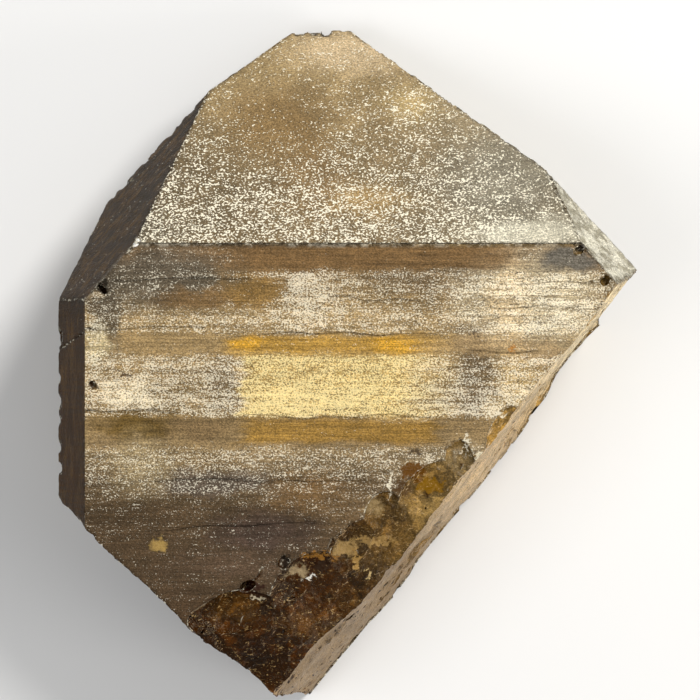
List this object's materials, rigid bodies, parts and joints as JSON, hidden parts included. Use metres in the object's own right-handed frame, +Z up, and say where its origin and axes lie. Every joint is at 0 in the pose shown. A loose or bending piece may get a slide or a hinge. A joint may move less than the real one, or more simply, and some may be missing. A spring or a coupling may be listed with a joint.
{
  "type": "citrine crystal point",
  "caption": "Broad tabular smoky citrine quartz crystal with a pitched termination and a broken lower end, lying on a prism face.",
  "frame": {"origin": "middle of the bounding box on the surface that the crystal rests on", "axes": "+Y along the crystal's long axis towards its termination, +Z up from the resting prism face, +X to the right seen from above"},
  "size_m": [0.096, 0.1124, 0.034],
  "materials": {
    "smoky_citrine": "satin etched crystal faces, glassy where broken"
  },
  "bodies": {
    "root": {"citrine_point": "smoky_citrine"}
  },
  "joints": []
}
